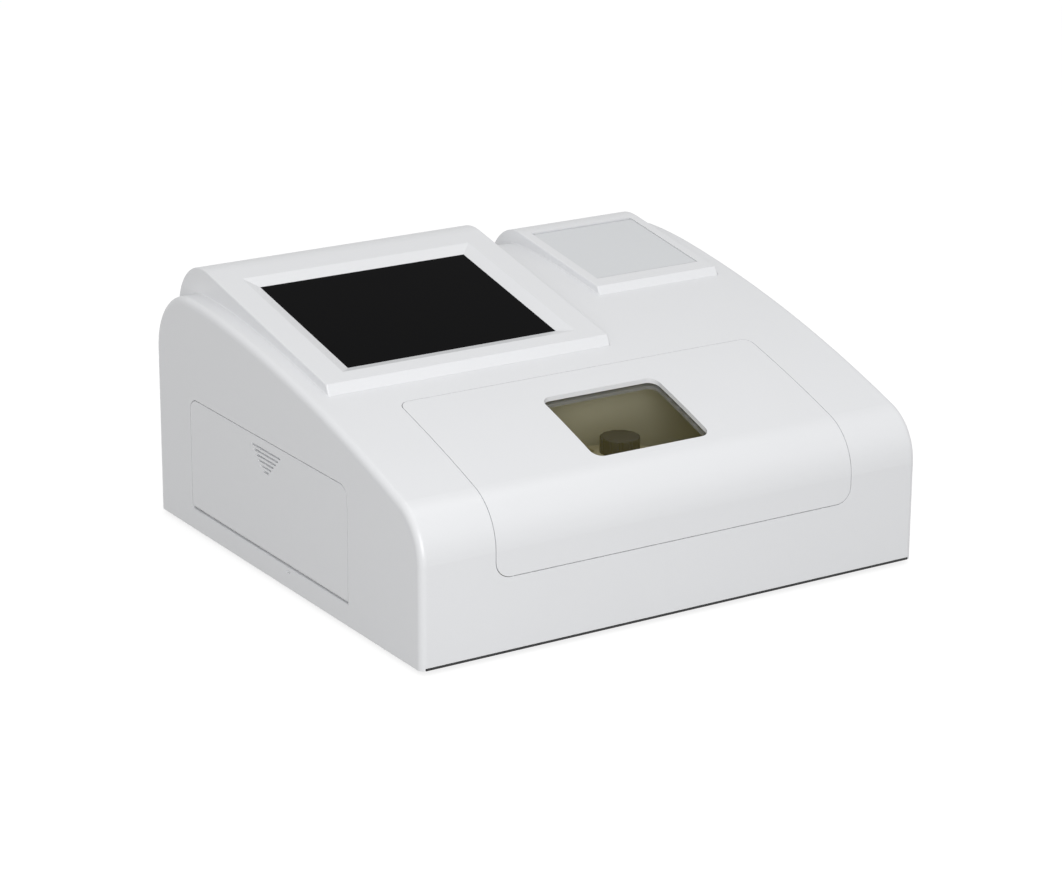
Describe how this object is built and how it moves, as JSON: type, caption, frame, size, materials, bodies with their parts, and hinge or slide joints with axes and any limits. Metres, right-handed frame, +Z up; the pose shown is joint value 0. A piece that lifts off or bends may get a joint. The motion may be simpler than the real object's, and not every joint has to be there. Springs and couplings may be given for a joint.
{
  "type": "rapid test reader",
  "caption": "Bench-top rapid test reader: white moulded case, hinged sample lid with tinted window over a turning cuvette carousel, tilted touch screen, slip printer and battery door",
  "frame": {"origin": "on the table, under the middle of the case's outline", "axes": "+X to the user's right, -Y towards the user, +Z up"},
  "size_m": [0.388, 0.36, 0.1855],
  "materials": {
    "case_white": "smooth moulded shell",
    "panel_grey": "fine moulded texture",
    "base_black": "moulded",
    "foot_rubber": "soft",
    "window_tint": "tinted clear plastic",
    "screen_black": "smooth",
    "inner_grey": "moulded",
    "inner_black": "moulded",
    "natural_abs": "moulded, undyed",
    "steel": "turned",
    "plated": "plated",
    "bare_aluminium": "bead blasted",
    "motor_paint": "satin",
    "board_green": "lacquered",
    "lamp_clear": "clear",
    "roller_rubber": "ground",
    "paper_white": "thermal paper",
    "core_card": "wound card",
    "battery_blue": "shrink sleeve",
    "magnet_nickel": "nickel plated"
  },
  "bodies": {
    "case": {"top_cover": "case_white", "base_plate": "base_black", "base_screws": "steel", "rubber_feet": "foot_rubber", "lid_hinge_pins": "steel", "chamber_tray": "inner_grey", "stepper_motor": "motor_paint", "motor_screws": "steel", "emitter_block": "inner_black", "emitter_lamp": "lamp_clear", "detector_block": "inner_black", "detector_lens": "lamp_clear", "display_housing": "case_white", "touch_glass": "screen_black", "lcd_module": "bare_aluminium", "lcd_brackets": "bare_aluminium", "bracket_screws": "steel", "lcd_board": "board_green", "lcd_board_pillars": "steel", "printer_housing": "case_white", "paper_bucket": "inner_grey", "print_head": "bare_aluminium", "battery_bay": "inner_grey", "battery_pack": "battery_blue", "battery_straps": "inner_black", "rear_panel": "inner_black", "switch_frame": "inner_black", "usb_ports": "plated", "network_port": "inner_black", "power_inlet": "inner_black", "main_board": "board_green", "board_pillars": "steel", "board_screws": "steel", "board_chips": "inner_black", "board_capacitors": "bare_aluminium", "magnet_keepers": "steel", "door_keepers": "steel"},
    "lid": {"lid": "case_white", "window_pane": "window_tint", "pane_retainer": "inner_black", "lid_magnets": "magnet_nickel"},
    "carousel": {"carousel": "natural_abs", "carousel_knob": "inner_black", "spindle": "steel"},
    "side_door": {"side_door": "case_white", "door_pins": "steel", "door_magnets": "magnet_nickel"},
    "printer_cover": {"printer_cover": "panel_grey", "printer_cover_pins": "steel"},
    "platen": {"platen_roller": "roller_rubber", "platen_shaft": "steel"},
    "paper_roll": {"paper_roll": "paper_white", "roll_core": "core_card"},
    "power_rocker": {"power_rocker": "inner_black"}
  },
  "joints": [
    {"name": "lid_hinge", "type": "hinge", "parent": "case", "child": "lid", "pos_m": [0, -0.0797, 0.12541], "axis": [-1, 0, 0], "range_deg": [0, 80]},
    {"name": "carousel_turn", "type": "hinge", "parent": "case", "child": "carousel", "pos_m": [0, -0.1104, 0.06], "axis": [0, 0, 1], "continuous": true},
    {"name": "side_door_hinge", "type": "hinge", "parent": "case", "child": "side_door", "pos_m": [-0.1915, 0.0208, 0.0209], "axis": [0, -1, 0], "range_deg": [0, 90]},
    {"name": "printer_cover_hinge", "type": "hinge", "parent": "case", "child": "printer_cover", "pos_m": [0.1254, 0.1268, 0.17288], "axis": [-1, 0, 0], "range_deg": [0, 85]},
    {"name": "platen_turn", "type": "hinge", "parent": "printer_cover", "child": "platen", "pos_m": [0.1254, 0.05534, 0.15368], "axis": [1, 0, 0], "continuous": true},
    {"name": "paper_roll_turn", "type": "hinge", "parent": "case", "child": "paper_roll", "pos_m": [0.1254, 0.09084, 0.13923], "axis": [1, 0, 0], "continuous": true},
    {"name": "power_rocker_tilt", "type": "hinge", "parent": "case", "child": "power_rocker", "pos_m": [-0.06, 0.1705, 0.039], "axis": [0, 0, 1], "range_deg": [-8, 8]}
  ]
}
